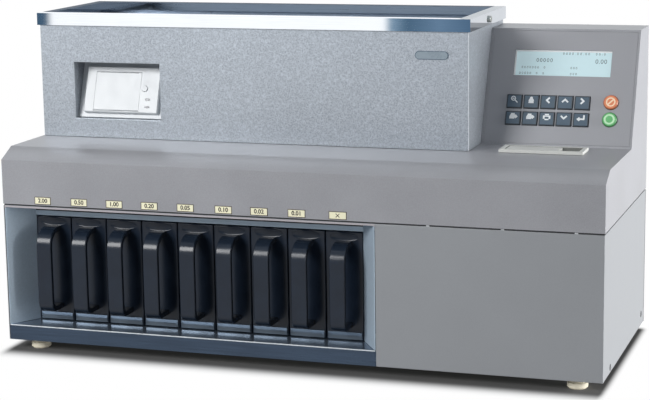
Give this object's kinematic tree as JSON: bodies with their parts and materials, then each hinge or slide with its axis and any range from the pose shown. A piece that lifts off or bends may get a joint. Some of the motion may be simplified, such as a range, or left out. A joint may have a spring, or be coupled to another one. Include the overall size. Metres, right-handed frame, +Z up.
{
  "type": "coin counter",
  "caption": "Counter-top coin counting and sorting machine with a bulk hopper, an inclined key console, a panel printer and a row of coin boxes.",
  "frame": {"origin": "on the floor under the middle of the machine's bounding box", "axes": "+X along the front from left to right, -Y out of the front face, +Z up"},
  "size_m": [0.81, 0.3274, 0.4458],
  "materials": {
    "cover_paint": "grey hammered paint",
    "lid_paint": "fine textured grey paint",
    "hopper_paint": "silver hammered paint",
    "polished_steel": "mirror polished stainless steel",
    "brushed_steel": "brushed stainless steel",
    "zinc_steel": "zinc plated steel",
    "black_plastic": "glossy blue-black moulded plastic",
    "matt_black": "matt black moulded plastic",
    "cream_rubber": "cream rubber",
    "dark_rubber": "dark foam rubber",
    "white_plastic": "white moulded plastic",
    "latch_plastic": "warm white moulded plastic",
    "key_plastic": "slate blue key caps",
    "orange_plastic": "orange push button",
    "green_plastic": "green push button",
    "display_lens": "pale blue-green display lens",
    "circuit_board": "green circuit board"
  },
  "bodies": {
    "cabinet": {"chassis": "zinc_steel", "foot_front_left": "cream_rubber", "foot_rear_left": "cream_rubber", "foot_front_right": "cream_rubber", "foot_rear_right": "cream_rubber", "left_side_panel": "cover_paint", "right_cover": "cover_paint", "rear_panel": "cover_paint", "lid_hinge_pin": "zinc_steel", "seam_gasket": "dark_rubber", "bay_surround": "polished_steel", "sort_deck": "brushed_steel", "drive_motor": "zinc_steel", "power_supply": "zinc_steel", "power_inlet": "matt_black"},
    "lid": {"upper_cover": "lid_paint", "hopper_body": "hopper_paint", "hopper_rim": "polished_steel", "hopper_liner": "brushed_steel", "console_plate": "cover_paint", "lcd_module": "matt_black", "lcd_window": "display_lens", "control_board": "circuit_board", "printer_housing": "white_plastic", "latch_frame": "latch_plastic"},
    "drawer_1": {"coin_box_1": "black_plastic", "box_handle_1": "black_plastic"},
    "drawer_2": {"coin_box_2": "black_plastic", "box_handle_2": "black_plastic"},
    "drawer_3": {"coin_box_3": "black_plastic", "box_handle_3": "black_plastic"},
    "drawer_4": {"coin_box_4": "black_plastic", "box_handle_4": "black_plastic"},
    "drawer_5": {"coin_box_5": "black_plastic", "box_handle_5": "black_plastic"},
    "drawer_6": {"coin_box_6": "black_plastic", "box_handle_6": "black_plastic"},
    "drawer_7": {"coin_box_7": "black_plastic", "box_handle_7": "black_plastic"},
    "drawer_8": {"coin_box_8": "black_plastic", "box_handle_8": "black_plastic"},
    "drawer_9": {"coin_box_9": "black_plastic", "box_handle_9": "black_plastic"},
    "key_1": {"key_1": "key_plastic"},
    "key_2": {"key_2": "key_plastic"},
    "key_3": {"key_3": "key_plastic"},
    "key_4": {"key_4": "key_plastic"},
    "key_5": {"key_5": "key_plastic"},
    "key_6": {"key_6": "key_plastic"},
    "key_7": {"key_7": "key_plastic"},
    "key_8": {"key_8": "key_plastic"},
    "key_9": {"key_9": "key_plastic"},
    "key_10": {"key_10": "key_plastic"},
    "stop_button": {"stop_button": "orange_plastic"},
    "start_button": {"start_button": "green_plastic"},
    "printer_button": {"printer_button": "lid_paint"},
    "printer_door": {"printer_door": "white_plastic"},
    "latch_paddle": {"latch_paddle": "latch_plastic"},
    "power_switch": {"power_switch": "matt_black"},
    "sorter_disc": {"sorter_disc": "brushed_steel"}
  },
  "joints": [
    {"name": "drawer_1_slide", "type": "slide", "parent": "cabinet", "child": "drawer_1", "axis": [0, -1, 0], "range_m": [0, 0.2]},
    {"name": "drawer_2_slide", "type": "slide", "parent": "cabinet", "child": "drawer_2", "axis": [0, -1, 0], "range_m": [0, 0.2]},
    {"name": "drawer_3_slide", "type": "slide", "parent": "cabinet", "child": "drawer_3", "axis": [0, -1, 0], "range_m": [0, 0.2]},
    {"name": "drawer_4_slide", "type": "slide", "parent": "cabinet", "child": "drawer_4", "axis": [0, -1, 0], "range_m": [0, 0.2]},
    {"name": "drawer_5_slide", "type": "slide", "parent": "cabinet", "child": "drawer_5", "axis": [0, -1, 0], "range_m": [0, 0.2]},
    {"name": "drawer_6_slide", "type": "slide", "parent": "cabinet", "child": "drawer_6", "axis": [0, -1, 0], "range_m": [0, 0.2]},
    {"name": "drawer_7_slide", "type": "slide", "parent": "cabinet", "child": "drawer_7", "axis": [0, -1, 0], "range_m": [0, 0.2]},
    {"name": "drawer_8_slide", "type": "slide", "parent": "cabinet", "child": "drawer_8", "axis": [0, -1, 0], "range_m": [0, 0.2]},
    {"name": "drawer_9_slide", "type": "slide", "parent": "cabinet", "child": "drawer_9", "axis": [0, -1, 0], "range_m": [0, 0.2]},
    {"name": "lid_hinge", "type": "hinge", "parent": "cabinet", "child": "lid", "pos_m": [0, 0.16015, 0.2], "axis": [-1, 0, 0], "range_deg": [0, 60]},
    {"name": "key_1_press", "type": "slide", "parent": "lid", "child": "key_1", "axis": [0, 0.9155, -0.4023], "range_m": [0, 0.0015], "stiffness_N_per_m": 200, "springref_m": -0.003},
    {"name": "key_2_press", "type": "slide", "parent": "lid", "child": "key_2", "axis": [0, 0.9155, -0.4023], "range_m": [0, 0.0015], "stiffness_N_per_m": 200, "springref_m": -0.003},
    {"name": "key_3_press", "type": "slide", "parent": "lid", "child": "key_3", "axis": [0, 0.9155, -0.4023], "range_m": [0, 0.0015], "stiffness_N_per_m": 200, "springref_m": -0.003},
    {"name": "key_4_press", "type": "slide", "parent": "lid", "child": "key_4", "axis": [0, 0.9155, -0.4023], "range_m": [0, 0.0015], "stiffness_N_per_m": 200, "springref_m": -0.003},
    {"name": "key_5_press", "type": "slide", "parent": "lid", "child": "key_5", "axis": [0, 0.9155, -0.4023], "range_m": [0, 0.0015], "stiffness_N_per_m": 200, "springref_m": -0.003},
    {"name": "key_6_press", "type": "slide", "parent": "lid", "child": "key_6", "axis": [0, 0.9155, -0.4023], "range_m": [0, 0.0015], "stiffness_N_per_m": 200, "springref_m": -0.003},
    {"name": "key_7_press", "type": "slide", "parent": "lid", "child": "key_7", "axis": [0, 0.9155, -0.4023], "range_m": [0, 0.0015], "stiffness_N_per_m": 200, "springref_m": -0.003},
    {"name": "key_8_press", "type": "slide", "parent": "lid", "child": "key_8", "axis": [0, 0.9155, -0.4023], "range_m": [0, 0.0015], "stiffness_N_per_m": 200, "springref_m": -0.003},
    {"name": "key_9_press", "type": "slide", "parent": "lid", "child": "key_9", "axis": [0, 0.9155, -0.4023], "range_m": [0, 0.0015], "stiffness_N_per_m": 200, "springref_m": -0.003},
    {"name": "key_10_press", "type": "slide", "parent": "lid", "child": "key_10", "axis": [0, 0.9155, -0.4023], "range_m": [0, 0.0015], "stiffness_N_per_m": 200, "springref_m": -0.003},
    {"name": "stop_button_press", "type": "slide", "parent": "lid", "child": "stop_button", "axis": [0, 0.9155, -0.4023], "range_m": [0, 0.0015], "stiffness_N_per_m": 200, "springref_m": -0.003},
    {"name": "start_button_press", "type": "slide", "parent": "lid", "child": "start_button", "axis": [0, 0.9155, -0.4023], "range_m": [0, 0.0015], "stiffness_N_per_m": 200, "springref_m": -0.003},
    {"name": "printer_button_press", "type": "slide", "parent": "lid", "child": "printer_button", "axis": [0, 0.9443, -0.329], "range_m": [0, 0.0008], "stiffness_N_per_m": 200, "springref_m": -0.002},
    {"name": "printer_door_hinge", "type": "hinge", "parent": "lid", "child": "printer_door", "pos_m": [-0.2952, -0.03282, 0.31345], "axis": [1, 0, 0], "range_deg": [0, 75]},
    {"name": "latch_paddle_lift", "type": "hinge", "parent": "lid", "child": "latch_paddle", "pos_m": [0.2531, -0.01965, 0.2769], "axis": [0, -1, 0], "range_deg": [0, 35]},
    {"name": "power_switch_rock", "type": "hinge", "parent": "cabinet", "child": "power_switch", "pos_m": [0.288, 0.15495, 0.074], "axis": [1, 0, 0], "range_deg": [0, 14]},
    {"name": "sorter_disc_spin", "type": "hinge", "parent": "cabinet", "child": "sorter_disc", "pos_m": [0.17, 0.03135, 0.1894], "axis": [0, 0, 1], "continuous": true}
  ]
}
